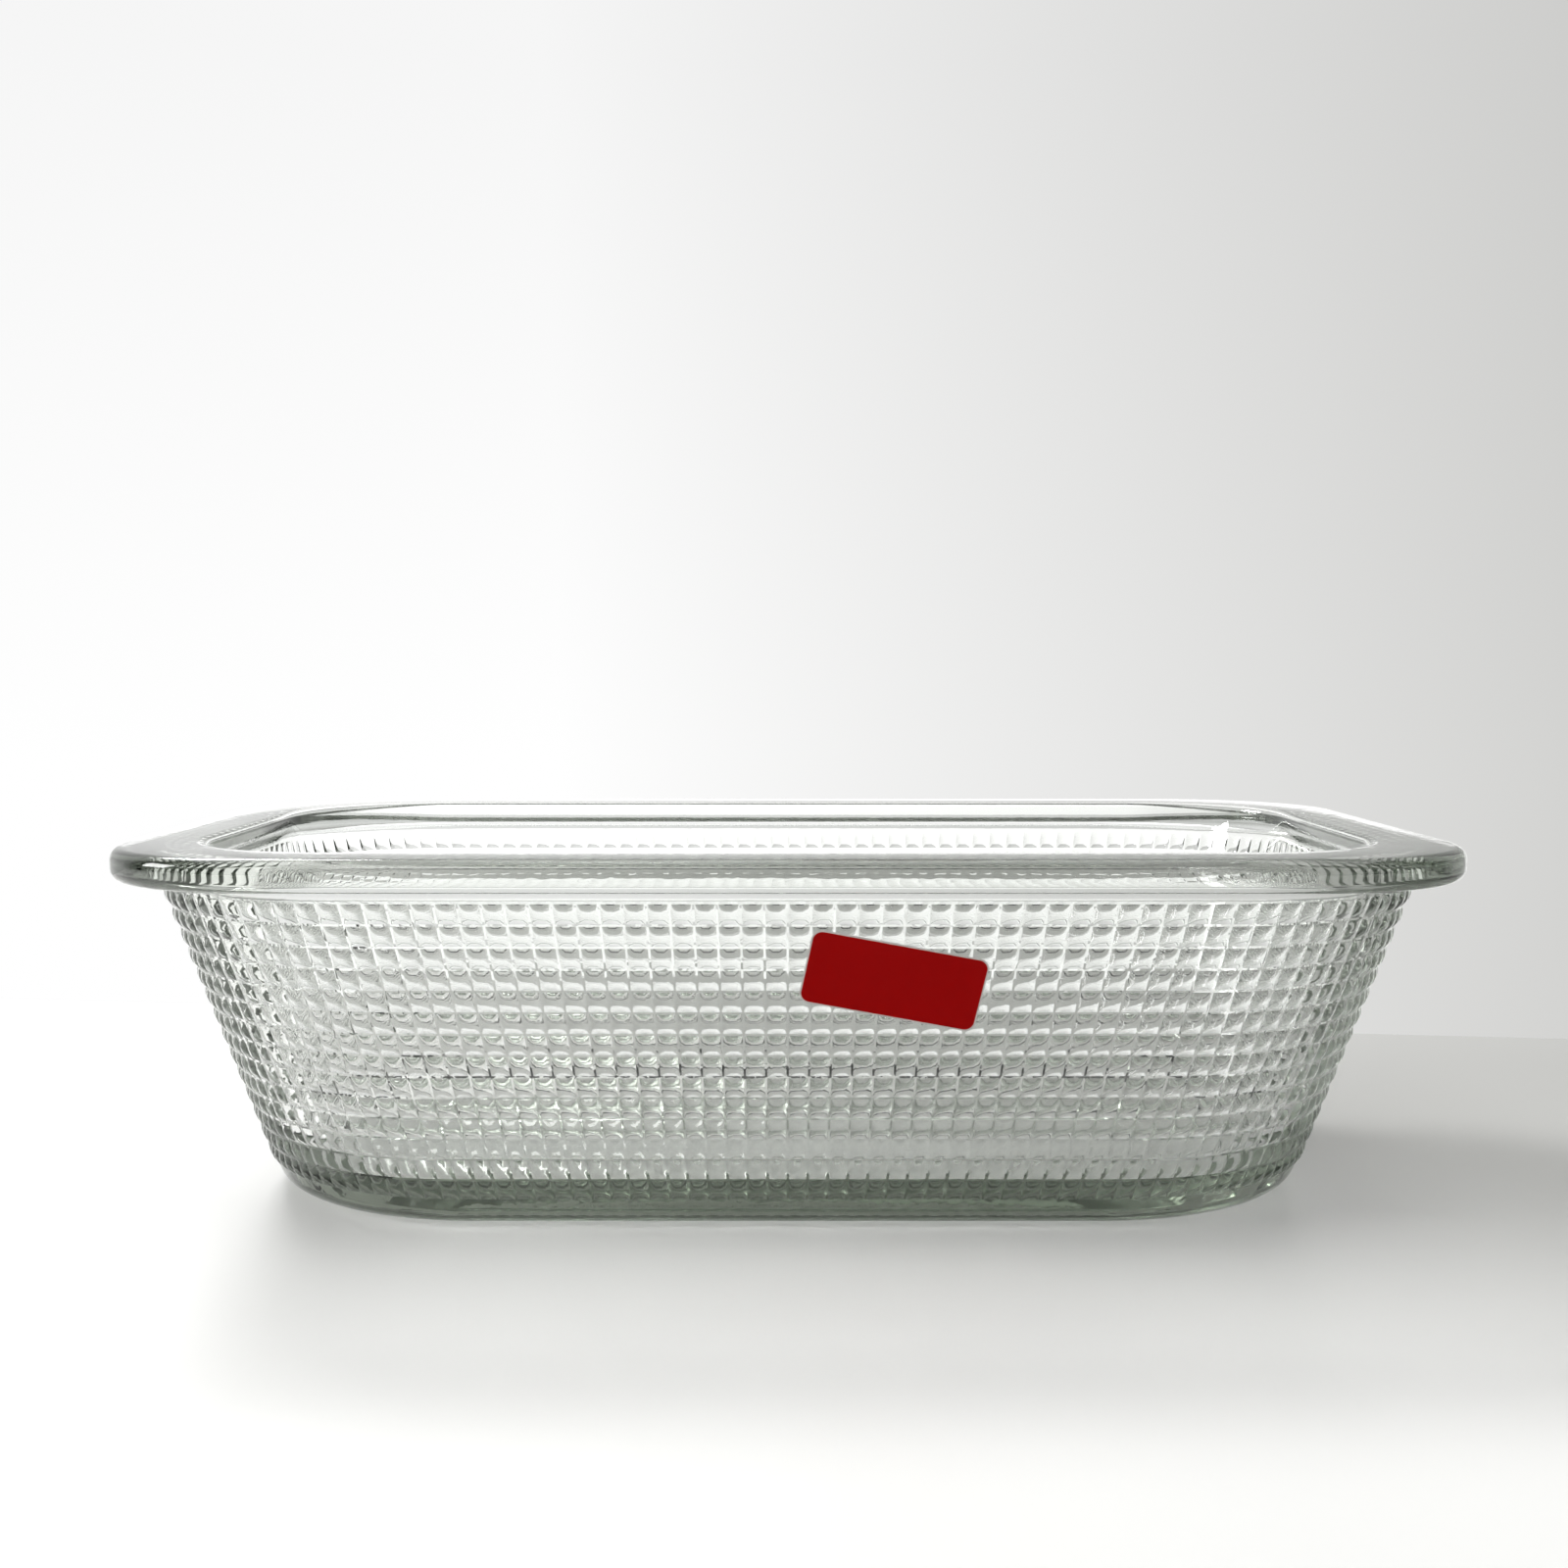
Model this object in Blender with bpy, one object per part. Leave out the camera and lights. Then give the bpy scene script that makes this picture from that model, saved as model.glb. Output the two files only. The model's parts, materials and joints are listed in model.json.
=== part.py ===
"""Pressed-glass loaf dish: flat flange rim, sloping walls quilted with pillow cells, and a paper label.

Metres, +Z up. The origin is the middle of the underside, +X runs along the dish, and -Y is its front.
"""
import math

import bmesh
import bpy
from mathutils import Matrix, Vector

# Overall size, over the rim and down to the foot
LENGTH = 0.270
WIDTH = 0.155
HEIGHT = 0.0755

# Rim: a flat flange with rounded edges
RIM_WIDTH = 0.0155
RIM_THICKNESS = 0.0065
RIM_OVERHANG = 0.0053
RIM_CORNER = 0.037
RIM_EDGE = 0.0026
MOUTH_EDGE = 0.0022

# Outer wall: straight draft all round, from the rim's underside down to the heel
WALL_DRAFT = math.radians(15.6)
WALL_CORNER_TOP = 0.047
WALL_CORNER_FOOT = 0.048
HEEL_RADIUS = 0.0055

# Quilting on the outer wall: convex pillow cells with sharp creases between them
CELL_ROWS = 14
CELL_PITCH = 0.00445
FOOT_SPREAD = 0.085
CELL_RISE = 0.00070
PLAIN_BAND = 0.0022
PLAIN_HEEL = 0.0057

# Inside: smooth walls that thin towards the foot, and a filleted floor
BOWL_CORNER_TOP = 0.032
BOWL_CORNER_FOOT = 0.028
FLOOR_THICKNESS = 0.0100
FOOT_WALL = 0.0070
FLOOR_FILLET = 0.0100

# Underside: the dish rests on a flat border round a shallow panel
FOOT_BORDER = 0.0100
PANEL_DEPTH = 0.0008
PANEL_SLOPE = 0.0020

# Label stuck on the crests of the front wall
LABEL_LENGTH = 0.0340
LABEL_HEIGHT = 0.0152
LABEL_CORNER = 0.0021
LABEL_THICKNESS = 0.00030
LABEL_TILT = math.radians(11.2)
LABEL_ALONG = 0.0200
LABEL_DOWN = 0.0178
SEAT_GAP = 0.0003

# A corner's radius stops at this share of the half width, so that each side keeps a straight stretch
ROUND_LIMIT = 0.97

# Facets of the plain surfaces
CORNER_FACETS = 10
EDGE_FACETS = 3
FILLET_FACETS = 4

# Edges that turn by more than this are shaded sharp
GLASS_CREASE = math.radians(6)
LABEL_CREASE = math.radians(40)

# Materials, as linear colours
GLASS_COLOUR = (0.84, 0.90, 0.87)
GLASS_ROUGHNESS = 0.03
LABEL_COLOUR = (0.27, 0.004, 0.006)
LABEL_ROUGHNESS = 0.30


def core_of(half):
    """Half lengths of a rounded rectangle's straight sides, and its corner radius."""
    half_x, half_y, radius = half
    radius = min(radius, half_x * ROUND_LIMIT, half_y * ROUND_LIMIT)
    return half_x - radius, half_y - radius, radius


def outline_length(half):
    """Length all round a rounded rectangle."""
    core_x, core_y, radius = core_of(half)
    return 4 * (core_x + core_y) + 2 * math.pi * radius


def outline_point(half, share):
    """Point at a share of the way round a rounded rectangle, anticlockwise from the middle of its front."""
    core_x, core_y, radius = core_of(half)
    left = share * outline_length(half) + core_x
    # The walk starts at the front's left end, so it ends on the front again, as a fifth side
    for side in range(5):
        facing = math.radians(90 * side - 90)
        out = Vector((math.cos(facing), math.sin(facing)))
        along = Vector((-out.y, out.x))
        run, reach = (core_y, core_x) if side % 2 else (core_x, core_y)
        centre = out * reach + along * run
        if left <= 2 * run:
            return centre + out * radius + along * (left - 2 * run)
        left -= 2 * run
        if left <= radius * math.pi / 2:
            angle = facing + left / radius
            return centre + Vector((math.cos(angle), math.sin(angle))) * radius
        left -= radius * math.pi / 2
    raise ValueError("a share runs from 0 to 1")


def plain_shares(half):
    """Shares of the way round at the middle of each side and along each corner, for a plain surface."""
    core_x, core_y, radius = core_of(half)
    arc = radius * math.pi / 2
    travelled = 0.0
    distances = []
    for corner in range(4):
        before, after = (core_y, core_x) if corner % 2 else (core_x, core_y)
        distances.append(travelled)
        travelled += before
        distances += [travelled + arc * step / CORNER_FACETS for step in range(CORNER_FACETS + 1)]
        travelled += arc + after
    return [distance / outline_length(half) for distance in distances]


def add_ring(mesh, half, z, shares=None):
    """Place one closed ring of vertices at height z, as (share of the way round, vertex)."""
    shares = shares or plain_shares(half)
    return [(share, mesh.verts.new((*outline_point(half, share), z))) for share in shares]


def bridge(mesh, lower, upper):
    """Join two rings with triangles, stepping along whichever ring lags behind."""
    low, high = 0, 0
    while low < len(lower) or high < len(upper):
        low_vert = lower[low % len(lower)][1]
        high_vert = upper[high % len(upper)][1]
        next_low = lower[low + 1][0] if low + 1 < len(lower) else 1.0
        next_high = upper[high + 1][0] if high + 1 < len(upper) else 1.0
        if high >= len(upper) or (low < len(lower) and next_low <= next_high):
            low += 1
            mesh.faces.new((low_vert, lower[low % len(lower)][1], high_vert))
        else:
            high += 1
            mesh.faces.new((low_vert, upper[high % len(upper)][1], high_vert))


def cap(mesh, ring, facing_up):
    """Close a ring with one flat face."""
    verts = [vert for _, vert in ring]
    mesh.faces.new(verts if facing_up else verts[::-1])


def wall_half(depth):
    """Half length, half width and corner radius of the outer wall, at a depth below the rim's underside."""
    inset = RIM_OVERHANG + depth * math.tan(WALL_DRAFT)
    share = depth / (HEIGHT - RIM_THICKNESS)
    radius = WALL_CORNER_TOP + (WALL_CORNER_FOOT - WALL_CORNER_TOP) * share
    return LENGTH / 2 - inset, WIDTH / 2 - inset, radius


def bowl_lean():
    """How far the inner wall moves in between the rim's top and the floor."""
    foot_half = wall_half(HEIGHT - RIM_THICKNESS - FLOOR_THICKNESS)[0] - FOOT_WALL
    return LENGTH / 2 - RIM_WIDTH - foot_half


def bowl_half(inset):
    """Half length, half width and corner radius of the inside, at an inset from the mouth's edge."""
    radius = BOWL_CORNER_TOP + (BOWL_CORNER_FOOT - BOWL_CORNER_TOP) * inset / bowl_lean()
    return LENGTH / 2 - RIM_WIDTH - inset, WIDTH / 2 - RIM_WIDTH - inset, radius


def fillet(corner, arriving, leaving, radius, facets):
    """Points of an arc that rounds the corner between two straight runs of a profile."""
    turn = arriving.angle(leaving)
    reach = radius * math.tan(turn / 2)
    start = corner - arriving * reach
    side = 1 if arriving.cross(leaving) > 0 else -1
    centre = start + Vector((-arriving.y, arriving.x)) * side * radius
    spoke = start - centre
    return [centre + Matrix.Rotation(side * turn * step / facets, 2) @ spoke for step in range(facets + 1)]


def bowl_profile():
    """Inside of the dish as (inset from the mouth, height): rounded lip, inner wall and floor fillet."""
    lip = Vector((0.0, HEIGHT))
    foot = Vector((bowl_lean(), FLOOR_THICKNESS))
    down = (foot - lip).normalized()
    inward = Vector((1.0, 0.0))
    return fillet(lip, inward, down, MOUTH_EDGE, EDGE_FACETS) + \
        fillet(foot, down, inward, FLOOR_FILLET, FILLET_FACETS)


def rim_profile():
    """Edge of the rim as (inset from the widest outline, height), from its underside to its top."""
    up = Vector((0.0, 1.0))
    below = Vector((0.0, HEIGHT - RIM_THICKNESS))
    above = Vector((0.0, HEIGHT))
    return fillet(below, Vector((-1.0, 0.0)), up, RIM_EDGE, EDGE_FACETS) + \
        fillet(above, up, Vector((1.0, 0.0)), RIM_EDGE, EDGE_FACETS)


def heel_profile():
    """Heel as (depth below the rim's underside, further inset): the wall's foot rounded into the base."""
    down = Vector((math.sin(WALL_DRAFT), -math.cos(WALL_DRAFT)))
    arc = fillet(Vector((0.0, 0.0)), down, Vector((1.0, 0.0)), HEEL_RADIUS, FILLET_FACETS)
    drop = HEIGHT - RIM_THICKNESS
    return [(drop - point.y, point.x + point.y * math.tan(WALL_DRAFT)) for point in arc]


def heel_half(depth, inset):
    """Outline of the heel or the base, at a depth and a further inset from the straight wall."""
    half_x, half_y, radius = wall_half(depth)
    return half_x - inset, half_y - inset, radius - inset


def cell_columns():
    """Number of cell columns all round, the same in each quarter."""
    return 4 * round(outline_length(wall_half(PLAIN_BAND)) / (4 * CELL_PITCH))


def column_share(column, descent):
    """Where a column crosses a row: even at the top; at the foot the long sides keep the wider cells."""
    share = column / cell_columns()
    return share + descent * FOOT_SPREAD * math.sin(4 * math.pi * share) / (4 * math.pi)


def add_cells(mesh):
    """Quilt the outer wall: a grid of rings from the foot up, with a raised crest in each cell."""
    top = PLAIN_BAND
    foot = HEIGHT - RIM_THICKNESS - PLAIN_HEEL
    rings = []
    for row in range(CELL_ROWS + 1):
        descent = 1 - row / CELL_ROWS
        depth = top + (foot - top) * descent
        shares = [column_share(column, descent) for column in range(cell_columns())]
        rings.append(add_ring(mesh, wall_half(depth), HEIGHT - RIM_THICKNESS - depth, shares))
    for lower, upper in zip(rings, rings[1:]):
        for column in range(len(lower)):
            after = (column + 1) % len(lower)
            corners = [lower[column][1], lower[after][1], upper[after][1], upper[column][1]]
            add_pillow(mesh, corners)
    return rings[0], rings[-1]


def add_pillow(mesh, corners):
    """Fill one cell with four facets that rise to its crest."""
    places = [corner.co for corner in corners]
    outward = (places[2] - places[0]).cross(places[3] - places[1]).normalized()
    middle = sum(places, Vector()) / 4
    crest = mesh.verts.new(middle + outward * CELL_RISE)
    for index in range(4):
        mesh.faces.new((corners[index], corners[(index + 1) % 4], crest))


def build_dish():
    """One pressed moulding, skinned ring by ring from the middle of the base round to the floor inside."""
    mesh = bmesh.new()
    heel = heel_profile()
    drop, base_inset = heel[-1]
    panel_edge = base_inset + FOOT_BORDER
    underside = [
        (heel_half(drop, panel_edge + PANEL_SLOPE), PANEL_DEPTH),
        (heel_half(drop, panel_edge), 0.0),
    ]
    underside += [(heel_half(depth, inset), drop - depth) for depth, inset in reversed(heel)]
    below = [add_ring(mesh, half, z) for half, z in underside]
    first_row, last_row = add_cells(mesh)

    neck = [(wall_half(0.0), HEIGHT - RIM_THICKNESS)]
    for point in rim_profile():
        half = (LENGTH / 2 - point.x, WIDTH / 2 - point.x, RIM_CORNER - point.x)
        neck.append((half, point.y))
    neck += [(bowl_half(point.x), point.y) for point in bowl_profile()]
    above = [add_ring(mesh, half, z) for half, z in neck]

    skin = below + [first_row]
    for lower, upper in zip(skin, skin[1:]):
        bridge(mesh, lower, upper)
    skin = [last_row] + above
    for lower, upper in zip(skin, skin[1:]):
        bridge(mesh, lower, upper)
    cap(mesh, below[0], facing_up=False)
    cap(mesh, above[-1], facing_up=True)
    return finish_mesh("glass_dish", mesh, GLASS_CREASE)


def build_label():
    """A thin film with rounded corners, lying flat on the crests of the front wall."""
    mesh = bmesh.new()
    half = (LABEL_LENGTH / 2, LABEL_HEIGHT / 2, LABEL_CORNER)
    back = add_ring(mesh, half, -LABEL_THICKNESS / 2)
    front = add_ring(mesh, half, LABEL_THICKNESS / 2)
    bridge(mesh, back, front)
    cap(mesh, back, facing_up=False)
    cap(mesh, front, facing_up=True)
    label = finish_mesh("label", mesh, LABEL_CREASE)

    across = Vector((1.0, 0.0, 0.0))
    upslope = Vector((0.0, -math.sin(WALL_DRAFT), math.cos(WALL_DRAFT)))
    outward = across.cross(upslope)
    wall_top = Vector((LABEL_ALONG, RIM_OVERHANG - WIDTH / 2, HEIGHT - RIM_THICKNESS))
    standoff = CELL_RISE + SEAT_GAP + LABEL_THICKNESS / 2
    facing = Matrix((across, upslope, outward)).transposed()
    label.rotation_euler = (facing @ Matrix.Rotation(-LABEL_TILT, 3, "Z")).to_euler()
    label.location = wall_top - upslope * LABEL_DOWN + outward * standoff
    return label


def finish_mesh(name, mesh, crease_angle):
    """Turn a bmesh into a named object, smooth where it is round and sharp past the crease angle."""
    data = bpy.data.meshes.new(name)
    mesh.to_mesh(data)
    mesh.free()
    data.shade_smooth()
    data.set_sharp_from_angle(angle=crease_angle)
    piece = bpy.data.objects.new(name, data)
    bpy.context.collection.objects.link(piece)
    return piece


def add_material(piece, name, colour, roughness, transmission=0.0):
    """Give a piece its own Principled material; no piece of the dish is metal."""
    material = bpy.data.materials.new(name)
    material.use_nodes = True
    shader = material.node_tree.nodes["Principled BSDF"]
    shader.inputs["Base Color"].default_value = (*colour, 1.0)
    shader.inputs["Roughness"].default_value = roughness
    shader.inputs["Metallic"].default_value = 0.0
    shader.inputs["Transmission Weight"].default_value = transmission
    piece.data.materials.append(material)


def main():
    """Clear the scene, build the two pieces and hang them on one empty."""
    for item in list(bpy.data.objects):
        bpy.data.objects.remove(item)
    dish = build_dish()
    label = build_label()
    add_material(dish, "clear_pressed_glass", GLASS_COLOUR, GLASS_ROUGHNESS, transmission=1.0)
    add_material(label, "red_label_film", LABEL_COLOUR, LABEL_ROUGHNESS)
    holder = bpy.data.objects.new("loaf_dish", None)
    bpy.context.collection.objects.link(holder)
    for piece in (dish, label):
        piece.parent = holder


main()
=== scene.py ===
import json
import math

import bmesh
import bpy
from bpy.props import FloatProperty, FloatVectorProperty, IntProperty, PointerProperty
from bpy.types import Operator, Panel, PropertyGroup
from mathutils import Matrix, Vector

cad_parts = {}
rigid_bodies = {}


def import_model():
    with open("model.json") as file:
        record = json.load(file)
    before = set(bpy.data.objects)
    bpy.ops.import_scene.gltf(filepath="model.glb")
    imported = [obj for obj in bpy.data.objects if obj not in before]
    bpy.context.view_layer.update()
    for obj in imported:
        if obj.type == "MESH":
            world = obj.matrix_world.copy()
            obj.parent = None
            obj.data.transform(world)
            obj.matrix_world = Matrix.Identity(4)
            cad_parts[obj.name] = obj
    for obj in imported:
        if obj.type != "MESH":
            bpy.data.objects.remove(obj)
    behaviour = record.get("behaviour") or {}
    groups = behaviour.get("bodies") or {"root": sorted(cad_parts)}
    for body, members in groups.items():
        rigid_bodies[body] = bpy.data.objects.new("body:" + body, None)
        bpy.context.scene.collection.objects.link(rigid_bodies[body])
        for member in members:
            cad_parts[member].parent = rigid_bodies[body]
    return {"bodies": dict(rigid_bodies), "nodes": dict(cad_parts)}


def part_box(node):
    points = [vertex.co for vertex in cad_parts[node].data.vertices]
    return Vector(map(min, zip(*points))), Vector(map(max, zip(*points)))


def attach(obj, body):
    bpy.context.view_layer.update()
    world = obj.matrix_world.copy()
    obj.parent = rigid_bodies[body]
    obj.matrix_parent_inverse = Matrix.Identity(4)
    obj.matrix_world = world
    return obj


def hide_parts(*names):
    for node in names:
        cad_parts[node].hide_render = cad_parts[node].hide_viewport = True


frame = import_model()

bl_info = {
    "name": "Quilted Glass Loaf Dish",
    "version": (1, 0, 0),
    "blender": (4, 5, 0),
    "location": "3D View > Sidebar > Loaf Dish",
    "description": "Builds a pressed-glass loaf dish with a label, on a pale studio table",
    "category": "Object",
}

LOW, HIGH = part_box("glass_dish")
LIGHTS = ("softbox", "window", "backlight", "scrim")


def size(name, default, description):
    """A length in metres, as a property."""
    return FloatProperty(
        name=name, description=description, default=default, unit="LENGTH", subtype="DISTANCE"
    )


def angle(name, degrees, description):
    """An angle, as a property."""
    return FloatProperty(
        name=name, description=description, default=math.radians(degrees), unit="ROTATION", subtype="ANGLE"
    )


def count(name, default, description):
    """A whole number of at least one, as a property."""
    return IntProperty(name=name, description=description, default=default, min=1)


def number(name, default, description):
    """A plain factor, as a property."""
    return FloatProperty(name=name, description=description, default=default, precision=3)


def lengths(name, default, description):
    """A position or a flat size in metres, as a property."""
    return FloatVectorProperty(
        name=name, description=description, default=default, size=len(default), unit="LENGTH", subtype="XYZ"
    )


def numbers(name, default, description):
    """A few plain factors, as a property."""
    return FloatVectorProperty(
        name=name, description=description, default=default, size=len(default), precision=3
    )


def linear(code):
    """Linear colour of an sRGB hex code."""
    shares = [int(code[place:place + 2], 16) / 255 for place in (0, 2, 4)]
    return tuple(s / 12.92 if s <= 0.04045 else ((s + 0.055) / 1.055) ** 2.4 for s in shares)


def colour(name, code, description):
    """A colour given as an sRGB hex code, as a property."""
    return FloatVectorProperty(
        name=name, description=description, default=linear(code), subtype="COLOR", size=3, min=0.0, max=1.0
    )


class DishSizes(PropertyGroup):
    """Sizes of the glass moulding, which follow the packed part's box."""

    length: size("Length", HIGH.x - LOW.x, "Over the rim, along X")
    width: size("Width", HIGH.y - LOW.y, "Over the rim, along Y")
    height: size("Height", HIGH.z - LOW.z, "From the foot to the rim's top")
    rim_width: size("Rim width", 0.0155, "Width of the flat flange round the mouth")
    rim_thickness: size("Rim thickness", 0.0065, "Height of the flange's edge")
    rim_overhang: size("Rim overhang", 0.0053, "How far the flange stands out over the wall")
    rim_corner: size("Rim corner", 0.037, "Corner radius of the flange in plan")
    rim_edge: size("Rim edge", 0.0024, "Radius that rounds the flange's edges")
    mouth_edge: size("Mouth edge", 0.0022, "Radius that rounds the mouth's edge")
    wall_draft: angle("Wall draft", 15.6, "Lean of the outer wall from the vertical")
    wall_corner_top: size("Wall corner, top", 0.047, "Corner radius of the outer wall under the rim")
    wall_corner_foot: size("Wall corner, foot", 0.048, "Corner radius of the outer wall at the foot")
    heel_radius: size("Heel radius", 0.0055, "Radius between the wall and the base")
    cell_rows: count("Cell rows", 14, "Rows of pillow cells up the wall")
    cell_pitch: size("Cell pitch", 0.00445, "Width of a cell in the top row")
    foot_spread: number("Foot spread", 0.085, "How much wider the cells of the long sides are at the foot")
    cell_rise: size("Cell rise", 0.00070, "Height of a pillow's crest over its creases")
    cell_seam: number("Cell seam", 0.10, "Share of a cell that is the flat seam round its pillow")
    cell_fullness: number("Cell fullness", 2.6, "Power of the pillow's curve; a higher one is flatter on top")
    plain_band: size("Plain band", 0.0022, "Plain wall between the rim and the top row")
    plain_heel: size("Plain heel", 0.0057, "Plain wall between the bottom row and the base")
    bowl_corner_top: size("Bowl corner, top", 0.032, "Corner radius of the mouth")
    bowl_corner_foot: size("Bowl corner, foot", 0.028, "Corner radius of the floor inside")
    floor_thickness: size("Floor thickness", 0.0100, "Glass under the floor")
    foot_wall: size("Foot wall", 0.0070, "Wall thickness at the floor")
    floor_fillet: size("Floor fillet", 0.0100, "Radius between the floor and the inner wall")
    foot_border: size("Foot border", 0.0100, "Width of the flat border that the dish stands on")
    panel_depth: size("Panel depth", 0.0008, "Depth of the shallow panel under the base")
    panel_slope: size("Panel slope", 0.0020, "Width of the step into the panel")
    round_limit: number("Round limit", 0.97, "Largest share of a half width that a corner's radius takes")
    cell_facets: count("Cell facets", 6, "Facets across a cell, each way")
    corner_facets: count("Corner facets", 28, "Facets round each corner of a plain surface")
    side_facets: count("Side facets", 6, "Facets along half of each side of a plain surface")
    edge_facets: count("Edge facets", 7, "Facets across a rounded edge")
    wall_facets: count("Wall facets", 8, "Facets down the inner wall")
    variation: number("Variation", 0.05, "How much the pillows differ in rise")
    seed: count("Seed", 7, "Start of the pillows' differences")


class LabelSizes(PropertyGroup):
    """Sizes and place of the label on the front wall."""

    length: size("Length", 0.0340, "Along the print")
    height: size("Height", 0.0152, "Across the print")
    corner: size("Corner", 0.0021, "Corner radius")
    thickness: size("Thickness", 0.00016, "Paper and its clear coat")
    edge: size("Pale edge", 0.00030, "Unprinted border")
    tilt: angle("Tilt", 11.2, "How far the label is turned clockwise")
    along: size("Along", 0.0200, "Right of the middle of the front")
    down: size("Down", 0.0178, "Below the rim, along the wall")
    seat: size("Seat", 0.00003, "Glue between the crests and the label")
    sag: size("Sag", 0.00006, "How far the paper stands higher on a crest than between crests")
    facets: count("Facets", 9, "Facets round each corner")
    round_limit: number("Round limit", 0.99, "Largest share of a half width that a corner's radius takes")
    crease: angle("Crease", 40.0, "Sharpest bend that is shaded as smooth")


class Looks(PropertyGroup):
    """Colours and finishes of the glass and the label."""

    tint: colour("Tint", "BCC3B9", "Colour that a thick piece of the glass passes")
    density: number("Density", 28.0, "Absorption in the glass, per metre")
    glass_ior: number("Glass IOR", 1.52, "Soda-lime glass")
    glass_roughness: number("Glass roughness", 0.0, "Fire-polished glass")
    ripples: numbers("Ripples", (80.0, 480.0), "Per metre: of 12 mm from the plunger, of 2 mm from the mould")
    ripple_heights: lengths("Ripple heights", (0.00004, 0.00002), "Heights of the two kinds of ripple")
    red: colour("Red", "BA0001", "Red ink of the label")
    red_shade: number("Red shade", 0.86, "Share of the red's brightness where the ink is thickest")
    pale: colour("Pale", "E9DFDC", "Bare paper at the label's edge")
    pale_shade: number("Pale shade", 0.93, "Share of the bare paper's brightness in its duller spots")
    ink_clouds: number("Ink clouds", 60.0, "Thick and thin spots of the ink per metre, each about 17 mm")
    fibres: number("Fibres", 900.0, "Tangles of paper fibre per metre, each about 1 mm")
    fibre_height: size("Fibre height", 0.00001, "How far the fibres stand out")
    fibre_strength: number("Fibre strength", 0.5, "How much of the fibres shows through the coat")
    paper_ior: number("Paper IOR", 1.49, "Clear coat of the label")
    paper_sheen: number("Paper sheen", 0.05, "Strength of the label's reflection")
    paper_roughness: number("Paper roughness", 0.38, "Roughness of the label's reflection")


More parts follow.
